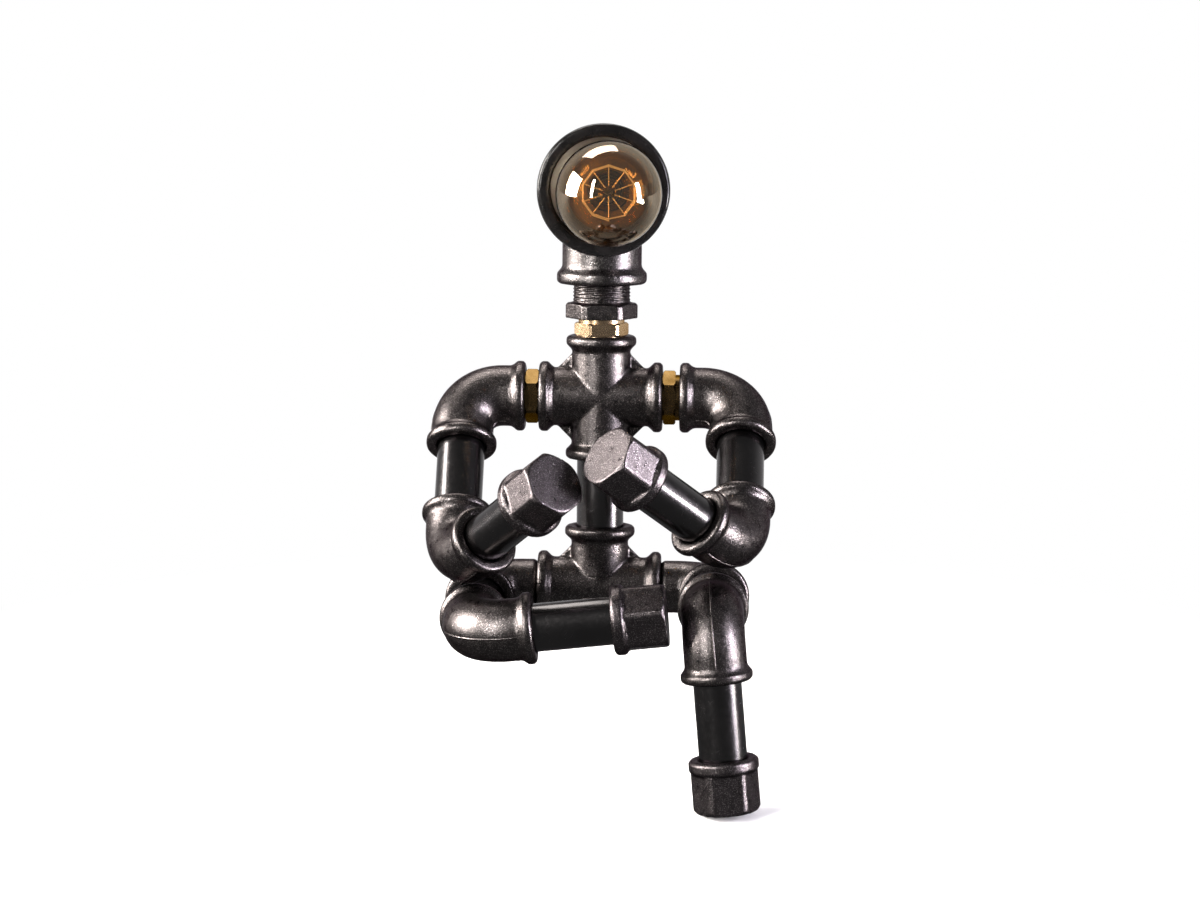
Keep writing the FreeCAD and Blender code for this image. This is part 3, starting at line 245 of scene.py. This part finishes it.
# Painted light: the filament is given a faint glow of its own, which makes the wire show bright gold.
def painted_glow_skin(name, colour, strength):
    shader = Shader(name)
    broad = shader.noise(400, detail=2, roughness=0.5)
    shader.set(Base_Color=shader.ramp(broad.outputs["Fac"],
                                      [(0.3, tuple(0.8 * part for part in colour)), (0.7, colour)]))
    shader.set(Metallic=0.9, Roughness=0.25, Emission_Color=colour, Emission_Strength=strength)
    return shader.material


GLOBE_RADIUS = 23.5 * MM
GLOBE_SKIN = 23.2 * MM
globe = nodes["bulb_globe"]
globe_points = [globe.matrix_world @ vertex.co for vertex in globe.data.vertices]
globe_front = max(globe_points, key=lambda point: point.dot(head_forward))
GLOBE_CENTRE = globe.matrix_world.inverted() @ (globe_front - head_forward * GLOBE_RADIUS)

skins = {
    "cast_iron_black": cast_skin("cast_iron_black", dark=(0.052, 0.047, 0.047), light=(0.068, 0.061, 0.060),
                                 glint=(0.26, 0.235, 0.23), shine=0.29, grain_depth=0.12 * MM),
    "cast_iron_grey": cast_skin("cast_iron_grey", dark=(0.056, 0.049, 0.051), light=(0.076, 0.067, 0.069),
                                glint=(0.28, 0.255, 0.255), shine=0.30, grain_depth=0.14 * MM),
    "head_iron": cast_skin("head_iron", dark=(0.060, 0.055, 0.055), light=(0.095, 0.087, 0.086),
                           glint=(0.30, 0.28, 0.27), shine=0.28, grain_depth=0.11 * MM),
    "pipe_steel": pipe_skin("pipe_steel"),
    # Painted shade: the shoulder nipples' brass is made much darker than brass, standing in for the shade in
    # the deep grooves between the beads and the dim room they face.
    "brass": brass_skin("brass", dark=(0.060, 0.038, 0.016), light=(0.130, 0.085, 0.038)),
    "porcelain": plain_skin("porcelain", (0.30, 0.15, 0.06), 0.22, coat=0.4),
    "zinc_steel": plain_skin("zinc_steel", (0.45, 0.46, 0.47), 0.34, metallic=1.0),
    "amber_glass": mirrored_glass_skin("amber_glass", (0.74, 0.62, 0.47), centre=GLOBE_CENTRE,
                                       skin_radius=GLOBE_SKIN, share=0.34),
    "clear_glass": glass_skin("clear_glass", (1.0, 0.78, 0.36), ior=1.5, roughness=0.04, metallic=0.45),
    "cap_metal": plain_skin("cap_metal", (0.62, 0.50, 0.28), 0.28, metallic=1.0),
    "contact_metal": plain_skin("contact_metal", (0.55, 0.55, 0.55), 0.4, metallic=1.0),
    "dark_ceramic": plain_skin("dark_ceramic", (0.02, 0.02, 0.02), 0.15),
    "filament_wire": painted_glow_skin("filament_wire", (0.95, 0.55, 0.18), strength=0.6),
    "lead_plastic": plain_skin("lead_plastic", (0.55, 0.42, 0.25), 0.7, grain=3000, depth=0.08 * MM),
    "sleeve_plastic": plain_skin("sleeve_plastic", (0.80, 0.79, 0.76), 0.45),
    "seal_rubber": plain_skin("seal_rubber", (0.02, 0.02, 0.02), 0.65),
}
ring_skin = gloss_black_skin("ring_enamel")
# Painted light: a lit copy of the brass, lighter than the shoulders' brass because the neck nipple faces up
# into more light.
lit_neck_brass = brass_skin("lit_neck_brass", dark=(0.34, 0.235, 0.140), light=(0.56, 0.41, 0.260))
# Painted shade: the inside of the bore is near-black and reflects nothing, standing in for the shade in the
# hollow round the bulb.
shaded_mouth_skin = plain_skin("mouth_painted_shade", (0.014, 0.011, 0.009), 0.85)
shaded_mouth_skin.node_tree.nodes["Principled BSDF"].inputs["Specular IOR Level"].default_value = 0.0

slot_of = {part["node"]: part["material_slot"] for part in frame["record"]["subparts"]}
for name, thing in nodes.items():
    # The neck nipple takes the lighter, lit copy of the brass.
    skin = lit_neck_brass if name == "neck_hex_nipple" else skins[slot_of[name]]
    for index in range(len(thing.material_slots)):
        thing.material_slots[index].material = skin


# Cast fittings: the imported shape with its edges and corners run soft, as moulding sand leaves them

FITTING_VOXEL = 0.62 * MM
CAP_VOXEL = 0.5 * MM
BUSHING_VOXEL = 0.4 * MM
HEAD_VOXEL = 0.8 * MM


def soften(name, voxel, passes):
    """A copy of a CAD node with rounded edges and filled corners, which stands for that node."""
    source = nodes[name]
    mesh = source.data.copy()
    piece = bpy.data.objects.new(name + "_cast", mesh)
    scene.collection.objects.link(piece)
    piece.matrix_world = source.matrix_world
    remesh = piece.modifiers.new("remesh", "REMESH")
    remesh.mode = "VOXEL"
    remesh.voxel_size = voxel * 1.0
    remesh.use_smooth_shade = True
    smooth = piece.modifiers.new("smooth", "SMOOTH")
    smooth.factor = 0.5
    smooth.iterations = passes
    depsgraph = bpy.context.evaluated_depsgraph_get()
    result = bpy.data.meshes.new_from_object(piece.evaluated_get(depsgraph))
    piece.modifiers.clear()
    piece.data = result
    result.materials.clear()
    result.materials.append(skins[slot_of[name]])
    for polygon in result.polygons:
        polygon.use_smooth = True
    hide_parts(name)
    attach(piece, body_of[name])
    return piece


softened = {}
FITTINGS = ["pelvis_tee", "chest_cross"]
for kind in ("shoulder_elbow", "arm_elbow", "hip_elbow", "knee_elbow"):
    for side in SIDES:
        FITTINGS.append("%s_%s" % (kind, side))
for name in FITTINGS:
    softened[name] = soften(name, FITTING_VOXEL, 5)
for kind in ("hand_cap", "foot_cap"):
    for side in SIDES:
        name = "%s_%s" % (kind, side)
        softened[name] = soften(name, CAP_VOXEL, 3)
softened["neck_bushing"] = soften("neck_bushing", BUSHING_VOXEL, 1)
softened["head_elbow"] = soften("head_elbow", HEAD_VOXEL, 3)


# Casting seams: a low ridge along each elbow's outer and inner bend, in the plane of its two ports

RIGHT = Vector((1, 0, 0))
DEGREES = math.pi / 180
FOREARM_TURN = {"left": 56.8, "right": 48.7}
SHIN_TURN = {"left": 6.4, "right": 5.1}
BEND_RADIUS = 17.5
BODY_RADIUS = 13.8
HIP_BODY_RADIUS = 11.9
BEAD_FOOT = 21.0
OUTER_STEPS = 26
INNER_STEPS = 12
LEG_STEPS = 4
SEAM_SINK = 0.3
SEAM_PROFILE = ((-0.70, -0.30), (-0.36, 0.14), (-0.14, 0.38), (0.14, 0.38), (0.36, 0.14), (0.70, -0.30))


def bend_curve(reach, radius, outside):
    """Points and outward directions along an elbow's bend in its own XZ plane, in millimetres."""
    away = 1 if outside else -1
    arc = BEND_RADIUS + away * radius
    length = reach - BEND_RADIUS
    line = [(reach - length * step / LEG_STEPS, -away * radius, 0, -away) for step in range(LEG_STEPS)]
    steps = OUTER_STEPS if outside else INNER_STEPS
    for step in range(steps + 1):
        angle = (270 - 90 * step / steps) * DEGREES
        along, up = math.cos(angle), math.sin(angle)
        line.append((BEND_RADIUS + arc * along, BEND_RADIUS + arc * up, away * along, away * up))
    for step in range(1, LEG_STEPS + 1):
        line.append((-away * radius, BEND_RADIUS + length * step / LEG_STEPS, -away, 0))
    return line


def seam_wave(index):
    """The small unevenness of a seam along its length, in millimetres."""
    return 0.04 * math.sin(index * 1.7) + 0.03 * math.sin(index * 0.6)


def seam(name, body, matrix, curve, material):
    """A thin ridge swept along a curve, sunk a little into the casting under it."""
    shape = bmesh.new()
    rows = []
    for index, (x, z, out_x, out_z) in enumerate(curve):
        wave = seam_wave(index)
        fade = 0.0 if index in (0, len(curve) - 1) else 1.0
        row = []
        for side, height in SEAM_PROFILE:
            lift = (height + wave) * fade - SEAM_SINK * (1 - fade)
            point = Vector((x + out_x * lift, side * (1 + wave), z + out_z * lift)) * MM
            row.append(shape.verts.new(matrix @ point))
        rows.append(row)
    for first, second in zip(rows, rows[1:]):
        for index in range(len(SEAM_PROFILE) - 1):
            shape.faces.new((first[index], first[index + 1], second[index + 1], second[index]))
        shape.faces.new((first[-1], first[0], second[0], second[-1]))
    shape.faces.new(rows[0])
    shape.faces.new(rows[-1][::-1])
    bmesh.ops.recalc_face_normals(shape, faces=shape.faces[:])
    mesh = bpy.data.meshes.new(name)
    shape.to_mesh(mesh)
    shape.free()
    mesh.materials.append(material)
    for polygon in mesh.polygons:
        polygon.use_smooth = True
    thing = bpy.data.objects.new(name, mesh)
    scene.collection.objects.link(thing)
    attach(thing, body)


def direction_about(forward, toward, degrees):
    """The direction that lies between two square ones, at degrees from the first."""
    return forward * math.cos(degrees * DEGREES) + toward * math.sin(degrees * DEGREES)


elbow_frames = {}
for side in SIDES:
    inward = RIGHT if side == "left" else -RIGHT
    shoulder, _ = joint_line("shoulder_" + side)
    bend, arm = joint_line("elbow_" + side)
    if arm.z > 0:
        arm = -arm
    ahead = arm.cross(RIGHT)
    if ahead.y > 0:
        ahead = -ahead
    forearm = direction_about(inward, ahead, FOREARM_TURN[side])
    hip, _ = joint_line("hip_" + side)
    knee, thigh = joint_line("knee_" + side)
    if thigh.y > 0:
        thigh = -thigh
    hanging = thigh.cross(RIGHT)
    if hanging.z > 0:
        hanging = -hanging
    if side == "left":
        shin = direction_about(RIGHT, -hanging, SHIN_TURN[side])
    else:
        shin = direction_about(hanging, RIGHT, SHIN_TURN[side])
    elbow_frames["shoulder_elbow_" + side] = frame_of(inward, arm, shoulder)
    elbow_frames["arm_elbow_" + side] = frame_of(-arm, forearm, bend)
    elbow_frames["hip_elbow_" + side] = frame_of(inward, thigh, hip)
    elbow_frames["knee_elbow_" + side] = frame_of(-thigh, shin, knee)

for name, matrix in elbow_frames.items():
    wall = HIP_BODY_RADIUS if name.startswith("hip") else BODY_RADIUS
    for outside in (True, False):
        label = "%s_seam_%s" % (name, "outer" if outside else "inner")
        seam(label, body_of[name], matrix, bend_curve(BEAD_FOOT, wall, outside), skins[slot_of[name]])


# The head's mouth: gloss black on the ring's face, and inside the bore a matt black without reflection,
# painted shade for the hollow round the bulb

head = softened["head_elbow"]
head.data.materials.append(ring_skin)
head.data.materials.append(shaded_mouth_skin)
RING_BACK = 34.4 * MM
RING_FRONT = 39.3 * MM
BORE_RADIUS = 24.4 * MM
BORE_BACK = 10.0 * MM
RING_SLOT, SHADED_MOUTH_SLOT = 1, 2
for polygon in head.data.polygons:
    offset = polygon.center - head_centre
    ahead = offset.dot(head_forward)
    radius = (offset - head_forward * ahead).length
    if radius < BORE_RADIUS and BORE_BACK < ahead < RING_FRONT:
        polygon.material_index = SHADED_MOUTH_SLOT
    elif ahead > RING_BACK:
        polygon.material_index = RING_SLOT


# Floor, light and camera

def mesh_piece(name, vertices, faces, material):
    mesh = bpy.data.meshes.new(name)
    mesh.from_pydata(vertices, [], faces)
    mesh.materials.append(material)
    thing = bpy.data.objects.new(name, mesh)
    scene.collection.objects.link(thing)
    return thing


# AMBIENT is how strongly the world lights the object. ROOM is how bright the dim front looks in reflections.
# The two pairs are the values of Y between which the floor and the world rise from ROOM to white.

AMBIENT = 0.36
ROOM = 0.14
FLOOR_ROOM = (-0.10, 0.50)
WORLD_ROOM = (0.20, 0.97)


def two_way(tree, operation, first, second):
    """A math node of a tree between two sockets."""
    node = tree.nodes.new("ShaderNodeMath")
    node.operation = operation
    tree.links.new(first, node.inputs[0])
    tree.links.new(second, node.inputs[1])
    return node.outputs["Value"]


def room_level(tree, coordinate, limits):
    """The dim room in front of the object, which rises to white behind it between two limits of a Y."""
    place = tree.nodes.new("ShaderNodeTexCoord")
    split = tree.nodes.new("ShaderNodeSeparateXYZ")
    tree.links.new(place.outputs[coordinate], split.inputs["Vector"])
    room = tree.nodes.new("ShaderNodeMapRange")
    room.interpolation_type = "SMOOTHSTEP"
    room.inputs["From Min"].default_value, room.inputs["From Max"].default_value = limits
    room.inputs["To Min"].default_value = ROOM
    room.inputs["To Max"].default_value = 1.0
    tree.links.new(split.outputs["Y"], room.inputs["Value"])
    return room.outputs["Result"]


def pale_surface(name, near, far):
    """Plain pale paint under the object, which runs out into the white of the backdrop further away."""
    material = bpy.data.materials.new(name)
    material.use_nodes = True
    tree = material.node_tree
    paint = tree.nodes["Principled BSDF"]
    paint.inputs["Base Color"].default_value = (0.90, 0.90, 0.90, 1.0)
    paint.inputs["Roughness"].default_value = 0.9
    paint.inputs["Specular IOR Level"].default_value = 0.1
    paths = tree.nodes.new("ShaderNodeLightPath")
    straight = two_way(tree, "MAXIMUM", paths.outputs["Is Camera Ray"], paths.outputs["Is Transmission Ray"])
    white = tree.nodes.new("ShaderNodeEmission")
    level = two_way(tree, "MAXIMUM", straight, room_level(tree, "Object", FLOOR_ROOM))
    tree.links.new(level, white.inputs["Strength"])
    place = tree.nodes.new("ShaderNodeTexCoord")
    spread = tree.nodes.new("ShaderNodeVectorMath")
    spread.operation = "LENGTH"
    tree.links.new(place.outputs["Object"], spread.inputs[0])
    fade = tree.nodes.new("ShaderNodeMapRange")
    fade.interpolation_type = "SMOOTHSTEP"
    fade.inputs["From Min"].default_value = near
    fade.inputs["From Max"].default_value = far
    tree.links.new(spread.outputs["Value"], fade.inputs["Value"])
    faded = two_way(tree, "MULTIPLY", fade.outputs["Result"], straight)
    mix = tree.nodes.new("ShaderNodeMixShader")
    tree.links.new(two_way(tree, "MAXIMUM", faded, paths.outputs["Is Glossy Ray"]), mix.inputs["Fac"])
    tree.links.new(paint.outputs["BSDF"], mix.inputs[1])
    tree.links.new(white.outputs["Emission"], mix.inputs[2])
    tree.links.new(mix.outputs["Shader"], tree.nodes["Material Output"].inputs["Surface"])
    return material


FLOOR = -64.6 * MM
SPREAD = 4.0
PAINTED_RADIUS = 0.10
WHITE_RADIUS = 0.42
CORNERS = ((-1, -1), (1, -1), (1, 1), (-1, 1))
floor_corners = [(x * SPREAD, y * SPREAD, FLOOR) for x, y in CORNERS]
floor_paint = pale_surface("floor_paint", PAINTED_RADIUS, WHITE_RADIUS)
floor = mesh_piece("floor", floor_corners, [(0, 1, 2, 3)], floor_paint)

world = bpy.data.worlds.new("studio")
scene.world = world
world.use_nodes = True
background = world.node_tree.nodes["Background"]
background.inputs["Color"].default_value = (1.0, 1.0, 1.0, 1.0)


def studio_strength(tree):
    """White behind the object and a dim room in front, with a level of its own for the light it casts."""
    paths = tree.nodes.new("ShaderNodeLightPath")
    room = room_level(tree, "Generated", WORLD_ROOM)
    shown = two_way(tree, "MAXIMUM", room, paths.outputs["Is Camera Ray"])
    either = two_way(tree, "MAXIMUM", paths.outputs["Is Camera Ray"], paths.outputs["Is Glossy Ray"])
    seen = two_way(tree, "MAXIMUM", either, paths.outputs["Is Transmission Ray"])
    level_of = tree.nodes.new("ShaderNodeMix")
    level_of.data_type = "FLOAT"
    level_of.inputs["A"].default_value = AMBIENT
    tree.links.new(seen, level_of.inputs["Factor"])
    tree.links.new(shown, level_of.inputs["B"])
    return level_of.outputs["Result"]


world.node_tree.links.new(studio_strength(world.node_tree), background.inputs["Strength"])


LIT_MIDDLE = Vector((0, -0.02, 0.08))


def softbox(name, place, width, height, power, colour):
    """A rectangular lamp that faces the middle of the object, with its power in watts."""
    light = bpy.data.lights.new(name, "AREA")
    light.color = colour
    light.shape = "RECTANGLE"
    light.size = width
    light.size_y = height
    light.energy = power
    thing = bpy.data.objects.new(name, light)
    scene.collection.objects.link(thing)
    thing.location = place
    thing.rotation_mode = "QUATERNION"
    thing.rotation_quaternion = (Vector(place) - LIT_MIDDLE).to_track_quat("Z", "Y")


WARM_WHITE = (1.0, 0.95, 0.90)
SOFT_WHITE = (1.0, 0.97, 0.94)
ROSE_WHITE = (1.0, 0.95, 0.92)
VIOLET_WHITE = (0.93, 0.88, 1.0)
softbox("window", (-1.25, -0.10, 0.50), width=0.80, height=0.80, power=78, colour=WARM_WHITE)
softbox("skylight", (-0.28, 0.66, 1.35), width=1.0, height=0.60, power=15, colour=WARM_WHITE)
softbox("front_strip", (-0.75, -1.10, 0.60), width=0.12, height=0.9, power=24, colour=SOFT_WHITE)
softbox("right_strip", (1.15, -0.45, 0.30), width=0.20, height=0.8, power=30, colour=VIOLET_WHITE)
softbox("right_low", (1.05, -0.25, -0.02), width=0.16, height=0.16, power=9, colour=ROSE_WHITE)

# The camera that the photo was fitted with

SEEN_WIDTH, SEEN_HEIGHT = 1200, 900
FOCAL = 4161.0
DISTANCE = 1.9
AZIMUTH, ELEVATION, ROLL = math.radians(2.35), math.radians(12.0), math.radians(0.26)
SEEN_PELVIS = (599.4, 585.7)
back = Vector((math.sin(AZIMUTH) * math.cos(ELEVATION), -math.cos(AZIMUTH) * math.cos(ELEVATION),
               math.sin(ELEVATION)))
level = Vector((math.cos(AZIMUTH), math.sin(AZIMUTH), 0))
upward = back.cross(level)
if upward.z < 0:
    upward.negate()
across = level * math.cos(ROLL) + upward * math.sin(ROLL)
upright = upward * math.cos(ROLL) - level * math.sin(ROLL)
shift_x = (SEEN_PELVIS[0] - SEEN_WIDTH / 2) / FOCAL * DISTANCE
shift_y = (SEEN_HEIGHT / 2 - SEEN_PELVIS[1]) / FOCAL * DISTANCE
camera_data = bpy.data.cameras.new("camera")
camera_data.sensor_width = 36.0
camera_data.lens = 36.0 * FOCAL / SEEN_WIDTH
camera_data.clip_start = 0.01
camera_data.clip_end = 50
camera = bpy.data.objects.new("camera", camera_data)
scene.collection.objects.link(camera)
matrix = Matrix((across, upright, back)).transposed().to_4x4()
matrix.translation = pelvis + back * DISTANCE - across * shift_x - upright * shift_y
camera.matrix_world = matrix
scene.camera = camera
scene.view_settings.view_transform = "Standard"
